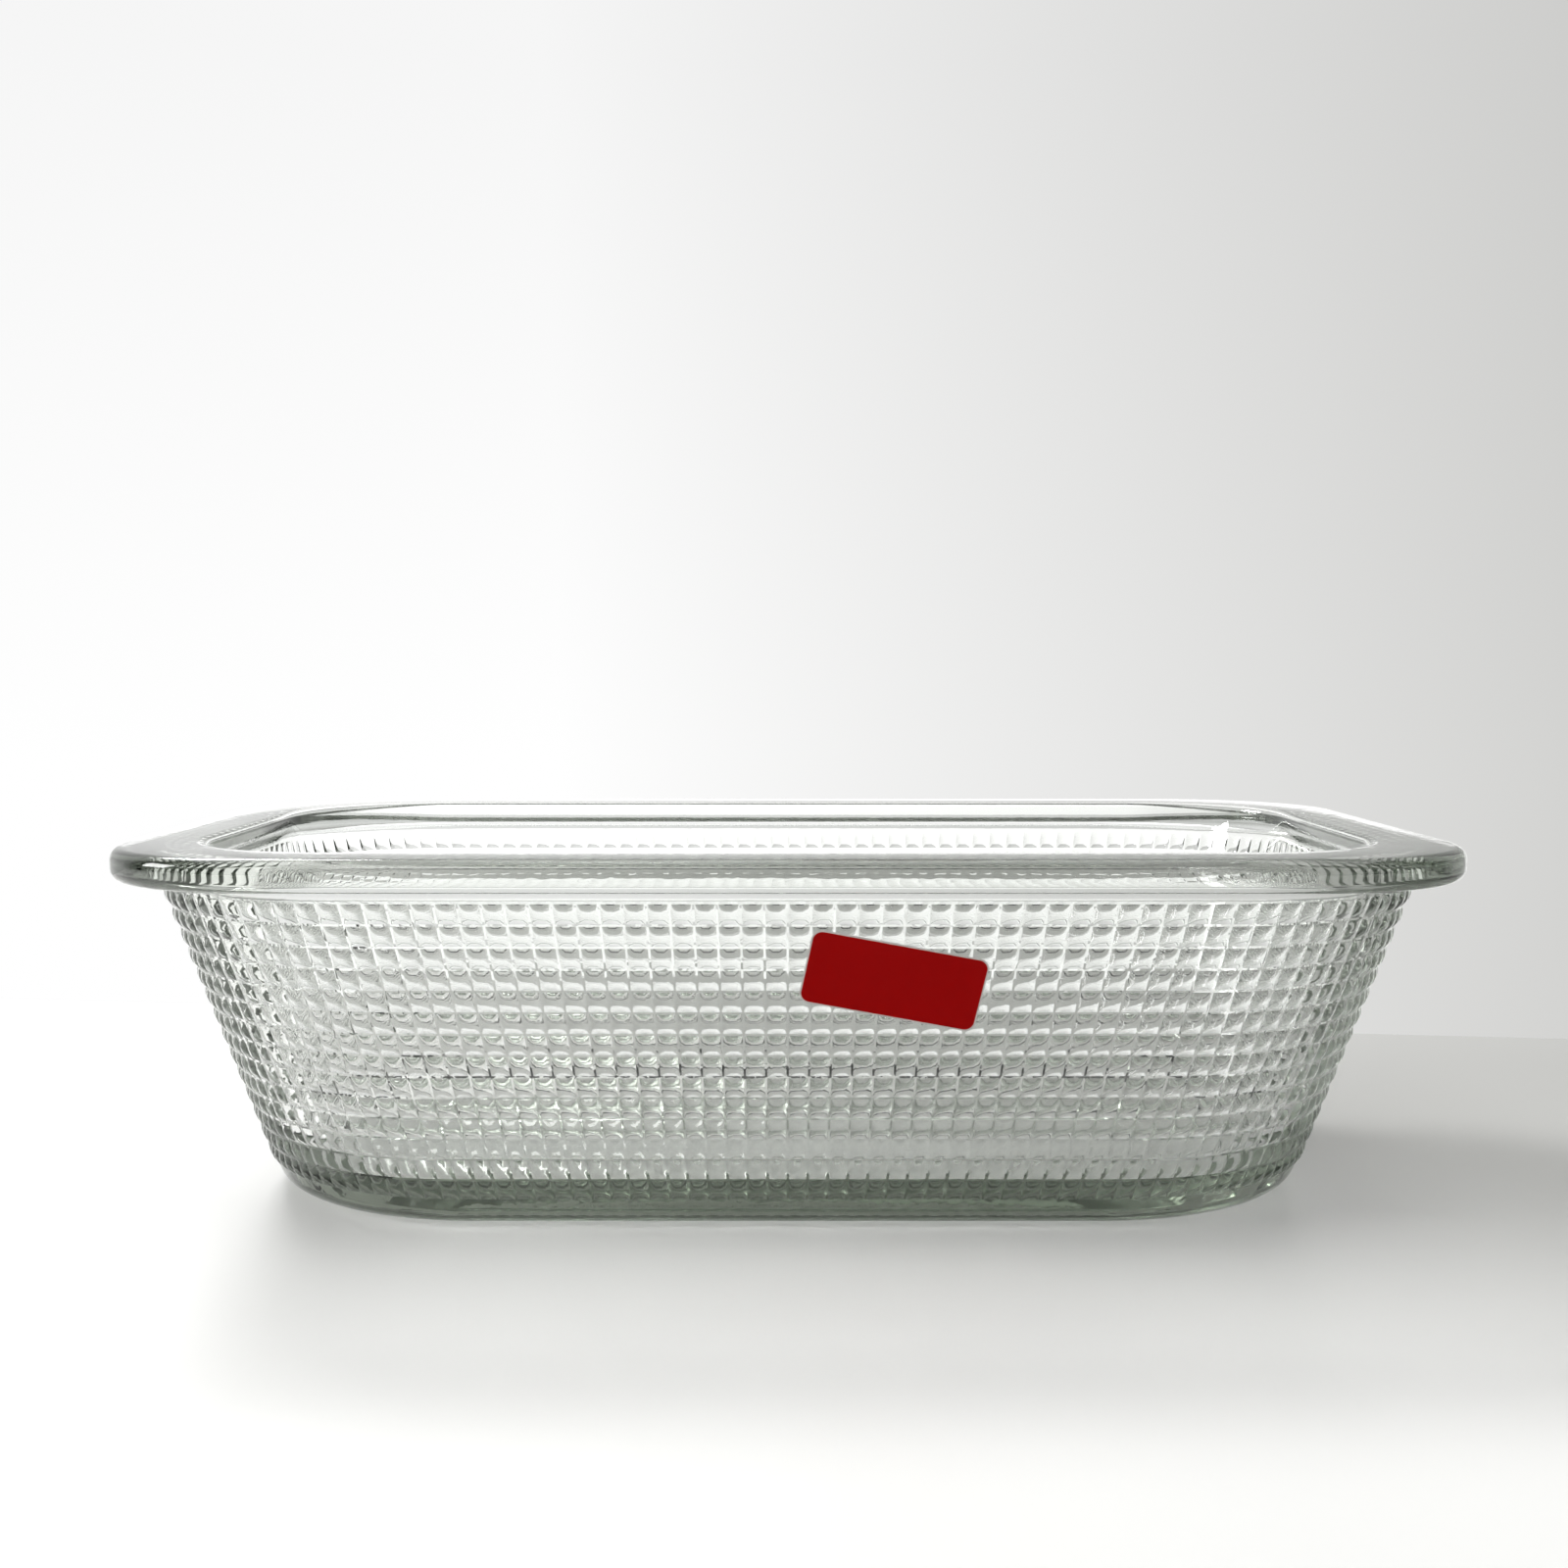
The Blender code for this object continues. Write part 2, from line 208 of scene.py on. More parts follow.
class StageLook(PropertyGroup):
    """Camera, table, backdrop and lights."""

    camera_place: lengths("Camera place", (-0.0007, -0.4148, 0.1113), "Where the camera stands")
    camera_pitch: angle("Camera pitch", 3.72, "How far the camera looks down")
    camera_focal: number("Focal length", 42.7, "In millimetres")
    camera_sensor: number("Sensor width", 36.0, "In millimetres")
    camera_near: size("Camera near", 0.01, "Distance at which the camera begins to see")
    board_clouds: number("Board clouds", 12.0, "Faint clouds per metre of table and card, each about 80 mm")
    board_cloudiness: number("Board cloudiness", 0.1, "How far clouds move a fade, as a share of its width")
    board_ior: number("Board IOR", 1.5, "Lacquer of the table and the card")
    table_back_left: size("Table's back edge, left", 0.320, "Behind the dish's middle, at the left end")
    table_back_right: size("Table's back edge, right", 0.005, "Behind the dish's middle, at the right end")
    table_reach: size("Table reach", 1.2, "How far the table runs to the sides and the front")
    table_drop: size("Table drop", 0.0002, "Air between the table and the foot")
    table_light: colour("Table, light", "F4F4F2", "Pale laminate on the bright side")
    # The dim tone and its fade are painted shade: the laminate is drawn darker towards the back right, where
    # less light falls
    table_painted_shade: colour("Table, painted shade", "BDBDBA", "Painted shade of the pale laminate on the dim side")
    table_shade_lean: numbers("Table shade lean", (1.0, 1.2, 0.0), "Way across the table in which its painted shade deepens")
    table_shade_fade: numbers("Table shade fade", (-0.06, 0.20), "Where its painted shade starts and ends, in metres that way")
    table_finish: numbers("Table finish", (0.15, 0.35), "Strength and roughness of the table's reflection")
    table_glow: number("Table glow", 0.05, "Light of the table's own, which keeps its shadows pale")
    flag_behind: size("Flag behind", 0.085, "Distance of the grey card behind the dish's middle")
    flag_length: size("Flag length", 0.60, "Length of the grey card")
    flag_height: size("Flag height", 0.036, "Height of the grey card")
    # The card's dark foot is a painted shade, a dark sheet that stands in for the shade behind the dish
    flag_painted_shade: colour("Flag, painted shade", "121413", "Painted shade of the grey card at its foot")
    flag_high: colour("Flag, high", "D8D8D6", "Grey card at its top")
    flag_shade_fade: numbers("Flag shade fade", (0.006, 0.012), "Where its painted shade starts and ends turning paler, in metres up")
    flag_finish: numbers("Flag finish", (0.0, 0.9), "Strength and roughness of the card's reflection")
    # The card glows though it is no lamp: a painted glow that lightens what the cells show of it
    flag_glow: number("Flag glow", 0.45, "Painted glow: light that the grey card gives off of its own")
    wall_left: colour("Wall, left", "FFFFFF", "Bright side of the backdrop")
    wall_right: colour("Wall, right", "D0D0CE", "Dim side of the backdrop")
    wall_fade: numbers("Wall fade", (-0.12, 0.42), "Where the backdrop starts and ends dimming, to the right")
    wall_rise: numbers("Wall rise", (-0.05, 0.30), "Where the backdrop starts and ends dimming, upwards")
    wall_top: number("Wall top", 0.92, "Brightness of the backdrop's top")
    room: colour("Room", "0E0E0E", "Dim room on the camera's side")
    room_fade: numbers("Room fade", (0.10, 0.50), "Where the room starts and ends turning into the backdrop")
    softbox_power: number("Softbox power", 8.0, "Light from overhead, in watts")
    softbox_place: lengths("Softbox place", (0.0, -0.1, 1.1), "Where the light overhead hangs")
    softbox_spread: lengths("Softbox spread", (1.6, 1.1), "Width and depth of the light overhead")
    window_power: number("Window power", 3.5, "Light from the left, in watts")
    window_place: lengths("Window place", (-0.9, -0.15, 0.35), "Where the light from the left stands")
    window_spread: lengths("Window spread", (0.3, 0.3), "Width and height of the light from the left")
    backlight_power: number("Backlight power", 9.0, "Light from high behind, in watts")
    backlight_place: lengths("Backlight place", (-0.55, 0.72, 0.9), "Where the light high behind hangs")
    backlight_spread: lengths("Backlight spread", (0.40, 0.26), "Width and height of the light high behind")
    scrim_power: number("Scrim power", 0.75, "Light from low behind, in watts")
    scrim_place: lengths("Scrim place", (0.0, 0.7, -0.05), "Where the light low behind stands")
    scrim_spread: lengths("Scrim spread", (1.4, 0.35), "Width and height of the light low behind")
    glass_bounces: count("Glass bounces", 32, "How often light passes a wall of the dish at most")
    gloss_bounces: count("Gloss bounces", 12, "How often light is mirrored at most")


def add_node(tree, kind, inputs=None, **settings):
    """Add a node; inputs maps socket names or numbers to values or to sockets that feed them."""
    node = tree.nodes.new(kind)
    for name, value in settings.items():
        setattr(node, name, value)
    for name, value in (inputs or {}).items():
        if isinstance(value, bpy.types.NodeSocket):
            tree.links.new(value, node.inputs[name])
        else:
            node.inputs[name].default_value = value
    return node


class Outline:
    """A rounded rectangle, walked anticlockwise from the middle of its front."""

    def __init__(self, half_x, half_y, radius, limit):
        self.radius = min(radius, half_x * limit, half_y * limit)
        self.core = (half_x - self.radius, half_y - self.radius)
        self.arc = self.radius * math.pi / 2
        self.length = 4 * (sum(self.core) + self.arc)

    def point(self, share):
        """Point at a share of the way round."""
        left = share * self.length + self.core[0]
        for side in range(5):
            facing = math.radians(90 * side - 90)
            out = Vector((math.cos(facing), math.sin(facing)))
            along = Vector((-out.y, out.x))
            run, reach = self.core[side % 2], self.core[1 - side % 2]
            centre = out * reach + along * run
            if left <= 2 * run:
                return centre + out * self.radius + along * (left - 2 * run)
            left -= 2 * run
            if left <= self.arc:
                turned = facing + left / self.radius
                return centre + Vector((math.cos(turned), math.sin(turned))) * self.radius
            left -= self.arc
        raise ValueError("a share runs from 0 to 1")

    def shares(self, corner_facets, side_facets):
        """Shares along the sides and round the corners, for a plain surface."""
        travelled = 0.0
        distances = []
        for corner in range(4):
            before, after = self.core[corner % 2], self.core[1 - corner % 2]
            distances += [travelled + before * step / side_facets for step in range(side_facets)]
            travelled += before
            distances += [travelled + self.arc * step / corner_facets for step in range(corner_facets)]
            travelled += self.arc
            distances += [travelled + after * step / side_facets for step in range(side_facets)]
            travelled += after
        return [distance / self.length for distance in distances]


def fillet(corner, arriving, leaving, radius, facets):
    """Points of an arc that rounds the corner between two straight runs of a profile."""
    turn = arriving.angle(leaving)
    start = corner - arriving * radius * math.tan(turn / 2)
    side = 1 if arriving.cross(leaving) > 0 else -1
    centre = start + Vector((-arriving.y, arriving.x)) * side * radius
    return [
        centre + Matrix.Rotation(side * turn * step / facets, 2) @ (start - centre)
        for step in range(facets + 1)
    ]


class DishShape:
    """Outlines and profiles of the glass moulding."""

    def __init__(self, sizes):
        self.s = sizes
        self.slope = math.tan(sizes.wall_draft)
        self.drop = sizes.height - sizes.rim_thickness
        foot = sizes.length / 2 - sizes.rim_overhang - (self.drop - sizes.floor_thickness) * self.slope
        self.bowl_lean = sizes.length / 2 - sizes.rim_width - foot + sizes.foot_wall

    def inset_outline(self, inset, radius):
        """The rim's widest outline, moved in all round."""
        s = self.s
        return Outline(s.length / 2 - inset, s.width / 2 - inset, radius, s.round_limit)

    def wall(self, depth, inset=0.0):
        """Outline of the outer wall at a depth below the rim, or inset from it."""
        s = self.s
        radius = s.wall_corner_top + (s.wall_corner_foot - s.wall_corner_top) * depth / self.drop
        return self.inset_outline(s.rim_overhang + depth * self.slope + inset, radius - inset)

    def bowl(self, inset):
        """Outline of the inside, at an inset from the mouth's edge."""
        s = self.s
        radius = s.bowl_corner_top + (s.bowl_corner_foot - s.bowl_corner_top) * inset / self.bowl_lean
        return self.inset_outline(s.rim_width + inset, radius)

    def columns(self):
        """Number of cell columns all round, the same in each quarter."""
        return 4 * round(self.wall(self.s.plain_band).length / (4 * self.s.cell_pitch))

    def underside(self):
        """Rings from the middle of the base to the wall's foot, as (outline, height)."""
        s = self.s
        down = Vector((math.sin(s.wall_draft), -math.cos(s.wall_draft)))
        arc = fillet(Vector((0.0, 0.0)), down, Vector((1.0, 0.0)), s.heel_radius, s.edge_facets)
        heel = [(point.y, point.x + point.y * self.slope) for point in reversed(arc)]
        edge = heel[0][1] + s.foot_border
        panel = (self.wall(self.drop, edge + s.panel_slope), s.panel_depth)
        border = (self.wall(self.drop, edge), 0.0)
        return [panel, border] + [(self.wall(self.drop - z, inset), z) for z, inset in heel]

    def upper_side(self):
        """Rings from the wall's top over the rim and down the inside to the floor, as (outline, height)."""
        s = self.s
        up, inward = Vector((0.0, 1.0)), Vector((1.0, 0.0))
        below, above = Vector((0.0, self.drop)), Vector((0.0, s.height))
        rim = fillet(below, -inward, up, s.rim_edge, s.edge_facets)
        rim += fillet(above, up, inward, s.rim_edge, s.edge_facets)
        lip, foot = Vector((0.0, s.height)), Vector((self.bowl_lean, s.floor_thickness))
        down = (foot - lip).normalized()
        mouth = fillet(lip, inward, down, s.mouth_edge, s.edge_facets)
        floor = fillet(foot, down, inward, s.floor_fillet, s.edge_facets)
        between = [mouth[-1].lerp(floor[0], step / s.wall_facets) for step in range(1, s.wall_facets)]
        rings = [(self.wall(0.0), self.drop)]
        rings += [(self.inset_outline(point.x, s.rim_corner - point.x), point.y) for point in rim]
        return rings + [(self.bowl(point.x), point.y) for point in mouth + between + floor]


def add_ring(mesh, outline, z, shares):
    """Place one closed ring of vertices at height z, as (share of the way round, vertex)."""
    return [(share, mesh.verts.new((*outline.point(share), z))) for share in shares]


def bridge(mesh, lower, upper):
    """Join two rings, with quads where they match and triangles where they don't."""
    if len(lower) == len(upper):
        for index in range(len(lower)):
            after = (index + 1) % len(lower)
            mesh.faces.new((lower[index][1], lower[after][1], upper[after][1], upper[index][1]))
        return
    low, high = 0, 0
    while low < len(lower) or high < len(upper):
        low_vert, high_vert = lower[low % len(lower)][1], upper[high % len(upper)][1]
        next_low = lower[low + 1][0] if low + 1 < len(lower) else 1.0
        next_high = upper[high + 1][0] if high + 1 < len(upper) else 1.0
        if high >= len(upper) or (low < len(lower) and next_low <= next_high):
            low += 1
            mesh.faces.new((low_vert, lower[low % len(lower)][1], high_vert))
        else:
            high += 1
            mesh.faces.new((low_vert, upper[high % len(upper)][1], high_vert))


def add_quilt(mesh, shape):
    """Lay the fine grid of the quilted wall, and mark on it where each vertex lies in its cell."""
    s = shape.s
    columns = shape.columns()
    across = mesh.verts.layers.float.new("cell_across")
    upward = mesh.verts.layers.float.new("cell_up")
    cell = mesh.verts.layers.int.new("cell")
    quilted = mesh.verts.layers.float.new("quilted")
    top, foot = s.plain_band, shape.drop - s.plain_heel
    steps_up = s.cell_rows * s.cell_facets
    steps_round = columns * s.cell_facets
    rings = []
    # A pillow's facets are narrow beside the seams, where it is steep; the last facet is the seam
    swings = [-math.cos(math.pi * facet / (s.cell_facets - 1)) for facet in range(s.cell_facets)]
    places = [(1 + swing * (1 - s.cell_seam)) / 2 for swing in swings]
    borders = (0, s.cell_facets - 1)
    for step_up in range(steps_up):
        descent = 1 - (step_up // s.cell_facets + places[step_up % s.cell_facets]) / s.cell_rows
        depth = top + (foot - top) * descent
        outline = shape.wall(depth)
        shares = []
        for step in range(steps_round):
            share = (step // s.cell_facets + places[step % s.cell_facets]) / columns
            shares.append(share + descent * s.foot_spread * math.sin(4 * math.pi * share) / (4 * math.pi))
        ring = add_ring(mesh, outline, shape.drop - depth, shares)
        for step, (_, vert) in enumerate(ring):
            vert[across] = swings[step % s.cell_facets]
            vert[upward] = swings[step_up % s.cell_facets]
            vert[quilted] = 1.0
            vert[cell] = step // s.cell_facets + step_up // s.cell_facets * columns
        rings.append(ring)
    for lower, upper in zip(rings, rings[1:]):
        bridge(mesh, lower, upper)
    # Sharp borders keep the seams flat beside the pillows
    for level, ring in enumerate(rings):
        for step, (_, vert) in enumerate(ring):
            if level % s.cell_facets in borders:
                mesh.edges.get((vert, ring[step - 1][1])).smooth = False
            if level and step % s.cell_facets in borders:
                mesh.edges.get((vert, rings[level - 1][step][1])).smooth = False
    return rings[0], rings[-1]


def quilting_tree():
    """Geometry Nodes that raise a pillow in each marked cell of the wall, each a little different."""
    tree = bpy.data.node_groups.new("quilting", "GeometryNodeTree")
    for name, kind in (
        ("Geometry", "NodeSocketGeometry"), ("Cell Rise", "NodeSocketFloat"), ("Fullness", "NodeSocketFloat"),
        ("Variation", "NodeSocketFloat"), ("Seed", "NodeSocketInt"), ("Glass", "NodeSocketMaterial"),
    ):
        tree.interface.new_socket(name, in_out="INPUT", socket_type=kind)
    tree.interface.new_socket("Geometry", in_out="OUTPUT", socket_type="NodeSocketGeometry")
    given = add_node(tree, "NodeGroupInput").outputs

    bends = []
    for name in ("cell_across", "cell_up"):
        place = add_node(tree, "GeometryNodeInputNamedAttribute", {"Name": name}, data_type="FLOAT")
        away = add_node(tree, "ShaderNodeMath", {0: place.outputs["Attribute"]}, operation="ABSOLUTE")
        bend = add_node(tree, "ShaderNodeMath", {0: away.outputs[0], 1: given["Fullness"]}, operation="POWER")
        left = add_node(tree, "ShaderNodeMath", {0: 1.0, 1: bend.outputs[0]}, operation="SUBTRACT")
        bends.append(left.outputs[0])
    full = add_node(tree, "ShaderNodeMath", {0: bends[0], 1: bends[1]}, operation="MULTIPLY")
    quilted = add_node(tree, "GeometryNodeInputNamedAttribute", {"Name": "quilted"}, data_type="FLOAT")
    pillow = add_node(
        tree, "ShaderNodeMath", {0: full.outputs[0], 1: quilted.outputs["Attribute"]}, operation="MULTIPLY"
    )

    cell = add_node(tree, "GeometryNodeInputNamedAttribute", {"Name": "cell"}, data_type="INT")
    least = add_node(tree, "ShaderNodeMath", {0: 1.0, 1: given["Variation"]}, operation="SUBTRACT")
    share = add_node(
        tree, "FunctionNodeRandomValue",
        {2: least.outputs[0], 3: 1.0, "ID": cell.outputs["Attribute"], "Seed": given["Seed"]},
        data_type="FLOAT",
    )
    rise = add_node(
        tree, "ShaderNodeMath", {0: given["Cell Rise"], 1: share.outputs[1]}, operation="MULTIPLY"
    )
    height = add_node(
        tree, "ShaderNodeMath", {0: pillow.outputs[0], 1: rise.outputs[0]}, operation="MULTIPLY"
    )
    normal = add_node(tree, "GeometryNodeInputNormal")
    offset = add_node(
        tree, "ShaderNodeVectorMath", {0: normal.outputs[0], "Scale": height.outputs[0]}, operation="SCALE"
    )
    moved = add_node(
        tree, "GeometryNodeSetPosition", {"Geometry": given["Geometry"], "Offset": offset.outputs[0]}
    )
    real = add_node(tree, "GeometryNodeRealizeInstances", {"Geometry": moved.outputs[0]})
    coated = add_node(
        tree, "GeometryNodeSetMaterial", {"Geometry": real.outputs[0], "Material": given["Glass"]}
    )
    add_node(tree, "NodeGroupOutput", {"Geometry": coated.outputs[0]})
    return tree


def new_piece(name, mesh):
    """Turn a bmesh into a named object in the scene."""
    data = bpy.data.meshes.new(name)
    mesh.to_mesh(data)
    mesh.free()
    piece = bpy.data.objects.new(name, data)
    bpy.context.scene.collection.objects.link(piece)
    return piece


def apply_tree(piece, tree, values):
    """Run a Geometry Nodes tree on a piece once, and keep the plain mesh that comes out."""
    modifier = piece.modifiers.new(tree.name, "NODES")
    modifier.node_group = tree
    for item in tree.interface.items_tree:
        if item.in_out == "INPUT" and item.name in values:
            modifier[item.identifier] = values[item.name]
    graph = bpy.context.evaluated_depsgraph_get()
    made = bpy.data.meshes.new_from_object(piece.evaluated_get(graph), depsgraph=graph)
    piece.modifiers.clear()
    plain, piece.data = piece.data, made
    bpy.data.meshes.remove(plain)
    made.name = piece.name


def new_material(name):
    """An empty node material, with its tree and output node."""
    material = bpy.data.materials.new(name)
    material.use_nodes = True
    material.node_tree.nodes.clear()
    return material, material.node_tree, add_node(material.node_tree, "ShaderNodeOutputMaterial")


def glass_material(looks):
    """Pressed soda-lime glass, fire-polished: clear and sharp, green where it is thick, gently rippled."""
    material, tree, output = new_material("pressed_soda_lime_glass")
    place = add_node(tree, "ShaderNodeTexCoord").outputs["Object"]
    bent = {}
    for ripples, height in zip(looks.ripples, looks.ripple_heights):
        noise = add_node(tree, "ShaderNodeTexNoise", {"Vector": place, "Scale": ripples, "Detail": 1.0})
        skin = add_node(
            tree, "ShaderNodeBump",
            {"Height": noise.outputs["Fac"], "Strength": 1.0, "Distance": height, **bent},
        )
        bent = {"Normal": skin.outputs[0]}
    shader = add_node(
        tree, "ShaderNodeBsdfPrincipled",
        {"Base Color": (1.0, 1.0, 1.0, 1.0), "Roughness": looks.glass_roughness, "IOR": looks.glass_ior,
         "Transmission Weight": 1.0, **bent},
    )
    body = add_node(
        tree, "ShaderNodeVolumeAbsorption", {"Color": (*looks.tint, 1.0), "Density": looks.density}
    )
    tree.links.new(shader.outputs[0], output.inputs["Surface"])
    tree.links.new(body.outputs[0], output.inputs["Volume"])
    return material


def print_material(name, looks, tone, shade):
    """Printed label paper: slightly uneven ink over fine fibres, with a faint sheen."""
    material, tree, output = new_material(name)
    place = add_node(tree, "ShaderNodeTexCoord").outputs["Object"]
    fibre = add_node(tree, "ShaderNodeTexNoise", {"Vector": place, "Scale": looks.fibres, "Detail": 3.0})
    ink = add_node(tree, "ShaderNodeTexNoise", {"Vector": place, "Scale": looks.ink_clouds, "Detail": 2.0})
    tint = add_node(
        tree, "ShaderNodeMix",
        {"Factor": ink.outputs["Fac"], "A": (*tone, 1.0), "B": (*[part * shade for part in tone], 1.0)},
        data_type="RGBA",
    )
    bump = add_node(
        tree, "ShaderNodeBump",
        {"Height": fibre.outputs["Fac"], "Strength": looks.fibre_strength, "Distance": looks.fibre_height},
    )
    shader = add_node(
        tree, "ShaderNodeBsdfPrincipled",
        {"Base Color": tint.outputs["Result"], "Roughness": looks.paper_roughness, "IOR": looks.paper_ior,
         "Specular IOR Level": looks.paper_sheen, "Normal": bump.outputs[0]},
    )
    tree.links.new(shader.outputs[0], output.inputs["Surface"])
    return material


def board_material(name, look, tones, lean, fade, finish, glow):
    """Smooth board or laminate with a faint cloudiness and a low sheen: one tone fades into another as a
    painted shade, and the board gives off a painted glow of its own.
    """
    material, tree, output = new_material(name)
    begin, end = fade
    sheen, roughness = finish
    place = add_node(tree, "ShaderNodeTexCoord").outputs["Object"]
    cloud = add_node(tree, "ShaderNodeTexNoise", {"Vector": place, "Scale": look.board_clouds, "Detail": 2.0})
    along = add_node(tree, "ShaderNodeVectorMath", {0: place, 1: lean}, operation="DOT_PRODUCT")
    uneven = add_node(
        tree, "ShaderNodeMath",
        {0: cloud.outputs["Fac"], 1: (end - begin) * look.board_cloudiness, 2: along.outputs["Value"]},
        operation="MULTIPLY_ADD",
    )
    # The fade from one tone to the other is a painted shade
    share = add_node(
        tree, "ShaderNodeMapRange", {"Value": uneven.outputs[0], "From Min": begin, "From Max": end},
        interpolation_type="SMOOTHSTEP",
    )
    tint = add_node(
        tree, "ShaderNodeMix",
        {"Factor": share.outputs[0], "A": (*tones[0], 1.0), "B": (*tones[1], 1.0)}, data_type="RGBA",
    )
    # The emission is a painted glow, not a lamp
    shader = add_node(
        tree, "ShaderNodeBsdfPrincipled",
        {"Base Color": tint.outputs["Result"], "Roughness": roughness, "Specular IOR Level": sheen,
         "IOR": look.board_ior, "Emission Color": tint.outputs["Result"], "Emission Strength": glow},
    )
    tree.links.new(shader.outputs[0], output.inputs["Surface"])
    return material


def build_dish(sizes, looks):
    """The glass moulding: plain surfaces ring by ring, and the quilted wall between them."""
    shape = DishShape(sizes)
    mesh = bmesh.new()
    bottom_row, top_row = add_quilt(mesh, shape)
    plain = {}
    for part, rings in (("below", shape.underside()), ("above", shape.upper_side())):
        plain[part] = [
            add_ring(mesh, outline, z, outline.shares(sizes.corner_facets, sizes.side_facets))
            for outline, z in rings
        ]
    for skin in (plain["below"] + [bottom_row], [top_row] + plain["above"]):
        for lower, upper in zip(skin, skin[1:]):
            bridge(mesh, lower, upper)
    mesh.faces.new([vert for _, vert in reversed(plain["below"][0])])
    mesh.faces.new([vert for _, vert in plain["above"][-1]])
    dish = new_piece("pressed_glass_dish", mesh)
    apply_tree(dish, quilting_tree(), {
        "Cell Rise": sizes.cell_rise, "Fullness": sizes.cell_fullness, "Variation": sizes.variation,
        "Seed": sizes.seed, "Glass": glass_material(looks),
    })
    dish.data.shade_smooth()
    return dish


def build_label(sizes, dish, looks):
    """The label: a paper with rounded corners that sinks a little between the crests it is stuck on."""
    across = Vector((1.0, 0.0, 0.0))
    upslope = Vector((0.0, -math.sin(dish.wall_draft), math.cos(dish.wall_draft)))
    outward = across.cross(upslope)
    middle = Vector((sizes.along, dish.rim_overhang - dish.width / 2, dish.height - dish.rim_thickness))
    middle += outward * (dish.cell_rise + sizes.seat) - upslope * sizes.down
    facing = Matrix((across, upslope, outward)).transposed() @ Matrix.Rotation(-sizes.tilt, 3, "Z")
    place = Matrix.Translation(middle) @ facing.to_4x4()

    mesh = bmesh.new()
    border = Outline(sizes.length / 2, sizes.height / 2, sizes.corner, sizes.round_limit)
    shares = border.shares(sizes.facets, 2 * sizes.facets)
    step = (sizes.height / 2 - sizes.edge) / sizes.facets
    insets = [0.0] + [sizes.edge + step * turn for turn in range(sizes.facets)]
    rings = [add_ring(mesh, border, 0.0, shares)]
    for inset in insets:
        corner = max(sizes.corner - inset, sizes.edge)
        outline = Outline(sizes.length / 2 - inset, sizes.height / 2 - inset, corner, sizes.round_limit)
        rings.append(add_ring(mesh, outline, sizes.thickness, shares))
    for lower, upper in zip(rings, rings[1:]):
        bridge(mesh, lower, upper)
    mesh.faces.new([vert for _, vert in rings[-1]])
    mesh.faces.new([vert for _, vert in reversed(rings[0])])
    # The print fills the front inside the pale edge
    printed = {vert for ring in rings[2:] for _, vert in ring}
    for face in mesh.faces:
        face.material_index = 0 if printed.issuperset(face.verts) else 1
    for vert in mesh.verts:
        spread = Vector((vert.co.x, vert.co.y)) * (2 * math.pi / dish.cell_pitch)
        wave = math.cos(spread.x) * math.cos(spread.y)
        vert.co.z += sizes.sag * (1 + wave) / 2
    mesh.transform(place)
    label = new_piece("paper_label", mesh)
    label.data.materials.append(print_material("gloss_printed_red_paper", looks, looks.red, looks.red_shade))
    label.data.materials.append(print_material("bare_label_paper", looks, looks.pale, looks.pale_shade))
    label.data.shade_smooth()
    label.data.set_sharp_from_angle(angle=sizes.crease)
    return label


def build_table(look):
    """The table top, cut off behind the dish by a slightly slanting edge."""
    mesh = bmesh.new()
    reach = look.table_reach
    front = ((-reach, -reach), (reach, -reach))
    back = ((reach, look.table_back_right), (-reach, look.table_back_left))
    mesh.faces.new([mesh.verts.new((x, y, -look.table_drop)) for x, y in front + back])
    table = new_piece("table", mesh)
    # The laminate fades into a painted shade towards the back right
    table.data.materials.append(board_material(
        "satin_laminate", look, (look.table_light, look.table_painted_shade), look.table_shade_lean, look.table_shade_fade,
        look.table_finish, look.table_glow,
    ))


def build_flag(look):
    """A card close behind the dish, seen only through the glass: its dark foot is a painted shade, standing
    in for the shade behind the dish, and draws the cells' dark edges.
    """
    mesh = bmesh.new()
    half = look.flag_length / 2
    corners = ((-half, 0.0), (half, 0.0), (half, look.flag_height), (-half, look.flag_height))
    mesh.faces.new([mesh.verts.new((x, look.flag_behind, z)) for x, z in corners])
    flag = new_piece("flag", mesh)
    # Its tones fade from a painted shade at the foot to pale grey above
    flag.data.materials.append(board_material(
        "grey_card", look, (look.flag_painted_shade, look.flag_high), (0.0, 0.0, 1.0), look.flag_shade_fade,
        look.flag_finish, look.flag_glow,
    ))
    flag.visible_camera = flag.visible_diffuse = flag.visible_glossy = flag.visible_shadow = False


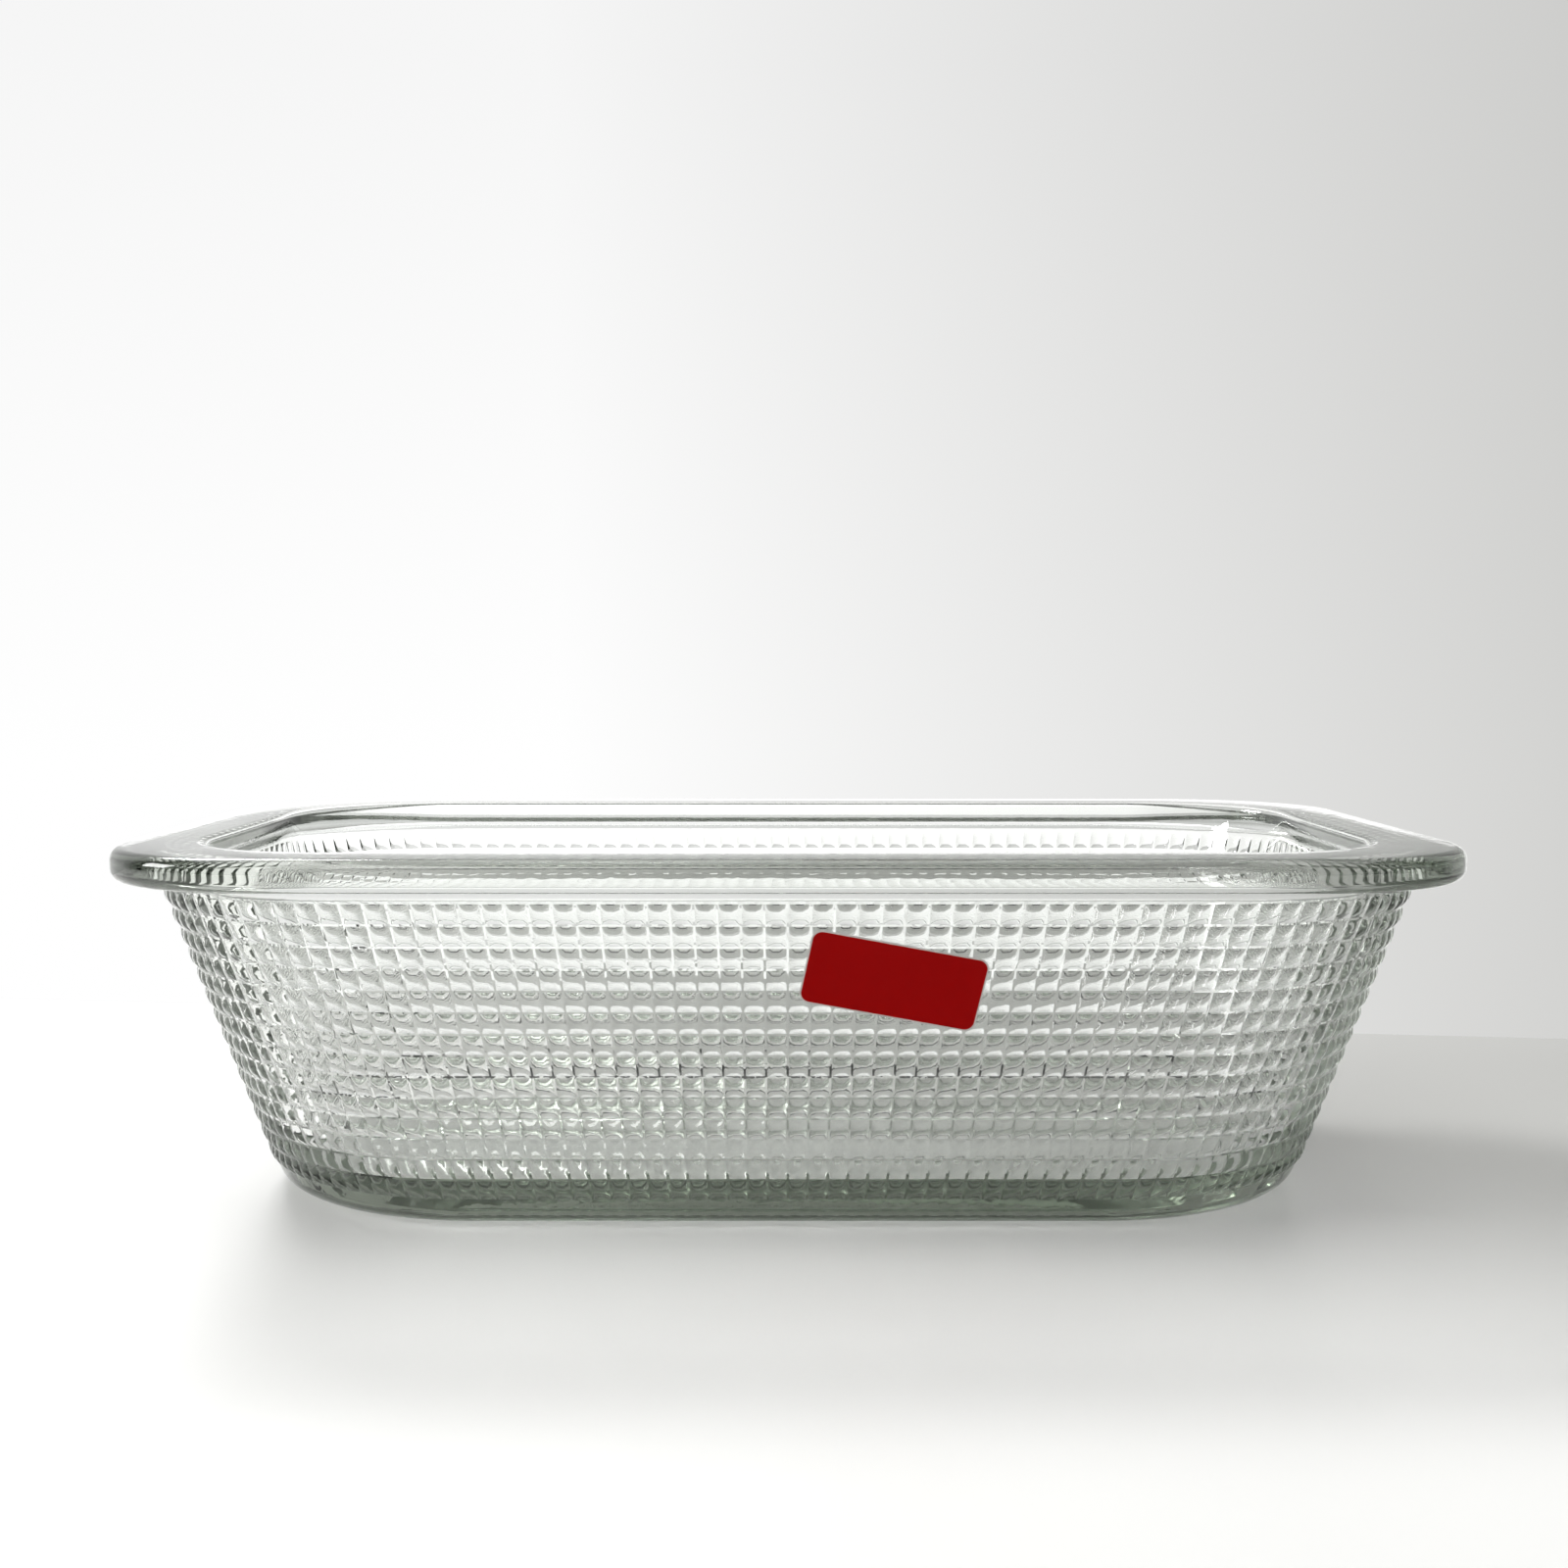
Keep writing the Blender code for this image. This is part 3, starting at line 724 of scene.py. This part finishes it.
def build_world(look):
    """Light from all round: a pale wall behind that dims to the right, and a dim room in front."""
    world = bpy.data.worlds.new("studio")
    bpy.context.scene.world = world
    world.use_nodes = True
    tree = world.node_tree
    tree.nodes.clear()
    way = add_node(tree, "ShaderNodeTexCoord").outputs["Generated"]
    parts = add_node(tree, "ShaderNodeSeparateXYZ", {0: way}).outputs
    aside = add_node(
        tree, "ShaderNodeMapRange",
        {"Value": parts["X"], "From Min": look.wall_fade[0], "From Max": look.wall_fade[1]},
    )
    wall = add_node(
        tree, "ShaderNodeMix",
        {"Factor": aside.outputs[0], "A": (*look.wall_left, 1.0), "B": (*look.wall_right, 1.0)},
        data_type="RGBA",
    )
    behind = add_node(
        tree, "ShaderNodeMapRange",
        {"Value": parts["Y"], "From Min": look.room_fade[0], "From Max": look.room_fade[1]},
        interpolation_type="SMOOTHSTEP",
    )
    seen = add_node(
        tree, "ShaderNodeMix",
        {"Factor": behind.outputs[0], "A": (*look.room, 1.0), "B": wall.outputs["Result"]}, data_type="RGBA",
    )
    level = add_node(
        tree, "ShaderNodeMapRange",
        {"Value": parts["Z"], "From Min": look.wall_rise[0], "From Max": look.wall_rise[1], "To Min": 1.0,
         "To Max": look.wall_top},
    )
    background = add_node(
        tree, "ShaderNodeBackground", {"Color": seen.outputs["Result"], "Strength": level.outputs[0]}
    )
    add_node(tree, "ShaderNodeOutputWorld", {"Surface": background.outputs[0]})


def build_light(look, name):
    """A soft rectangular light that faces the dish, with the power, spread and place set under its name."""
    data = bpy.data.lights.new(name, "AREA")
    data.shape = "RECTANGLE"
    data.size, data.size_y = getattr(look, name + "_spread")
    data.energy = getattr(look, name + "_power")
    light = bpy.data.objects.new(name, data)
    light.location = getattr(look, name + "_place")
    light.rotation_euler = (-light.location).to_track_quat("-Z", "Y").to_euler()
    light.visible_camera = False
    bpy.context.scene.collection.objects.link(light)


def build_camera(look):
    """The camera, at the height of a table-top picture."""
    data = bpy.data.cameras.new("camera")
    data.sensor_width = look.camera_sensor
    data.lens = look.camera_focal
    data.clip_start = look.camera_near
    camera = bpy.data.objects.new("camera", data)
    camera.location = look.camera_place
    camera.rotation_euler = (math.pi / 2 - look.camera_pitch, 0.0, 0.0)
    bpy.context.scene.collection.objects.link(camera)
    bpy.context.scene.camera = camera


class LOAF_OT_dish(Operator):
    """Build the glass dish."""

    bl_idname = "loaf.dish"
    bl_label = "Build Glass Dish"

    def execute(self, context):
        scene = context.scene
        dish = build_dish(scene.loaf_dish, scene.loaf_looks)
        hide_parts("glass_dish")
        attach(dish, "root")
        return {"FINISHED"}


class LOAF_OT_label(Operator):
    """Build the label on the front wall."""

    bl_idname = "loaf.label"
    bl_label = "Build Label"

    def execute(self, context):
        scene = context.scene
        label = build_label(scene.loaf_label, scene.loaf_dish, scene.loaf_looks)
        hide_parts("label")
        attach(label, "root")
        return {"FINISHED"}


class LOAF_OT_stage(Operator):
    """Set the table, light and camera."""

    bl_idname = "loaf.stage"
    bl_label = "Set Stage"

    def execute(self, context):
        scene = context.scene
        look = scene.loaf_stage
        build_table(look)
        build_flag(look)
        build_world(look)
        for name in LIGHTS:
            build_light(look, name)
        build_camera(look)
        scene.view_settings.view_transform = "Standard"
        scene.cycles.max_bounces = look.glass_bounces
        scene.cycles.transmission_bounces = look.glass_bounces
        scene.cycles.glossy_bounces = look.gloss_bounces
        return {"FINISHED"}


class LOAF_PT_panel(Panel):
    """Sizes, looks and build steps of the loaf dish."""

    bl_idname = "LOAF_PT_panel"
    bl_label = "Loaf Dish"
    bl_space_type = "VIEW_3D"
    bl_region_type = "UI"
    bl_category = "Loaf Dish"

    def draw(self, context):
        scene = context.scene
        for holder in GROUPS:
            box = self.layout.box()
            box.label(text=GROUPS[holder].__doc__)
            group = getattr(scene, holder)
            for name in GROUPS[holder].__annotations__:
                box.prop(group, name)
        for step in STEPS:
            self.layout.operator(step.bl_idname)


GROUPS = {"loaf_dish": DishSizes, "loaf_label": LabelSizes, "loaf_looks": Looks, "loaf_stage": StageLook}
STEPS = (LOAF_OT_dish, LOAF_OT_label, LOAF_OT_stage)
CLASSES = (*GROUPS.values(), *STEPS, LOAF_PT_panel)


def register():
    """Add the classes and hang the property groups on the scene."""
    for item in CLASSES:
        bpy.utils.register_class(item)
    for holder, group in GROUPS.items():
        setattr(bpy.types.Scene, holder, PointerProperty(type=group))


def unregister():
    """Take the property groups and classes away again."""
    for holder in GROUPS:
        delattr(bpy.types.Scene, holder)
    for item in reversed(CLASSES):
        bpy.utils.unregister_class(item)


def main():
    """Clear the default objects and build everything in order."""
    kept = set(frame["nodes"].values()) | set(frame["bodies"].values())
    for item in list(bpy.data.objects):
        if item not in kept:
            bpy.data.objects.remove(item)
    register()
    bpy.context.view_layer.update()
    bpy.ops.loaf.dish()
    bpy.ops.loaf.label()
    bpy.ops.loaf.stage()


if __name__ == "__main__":
    main()
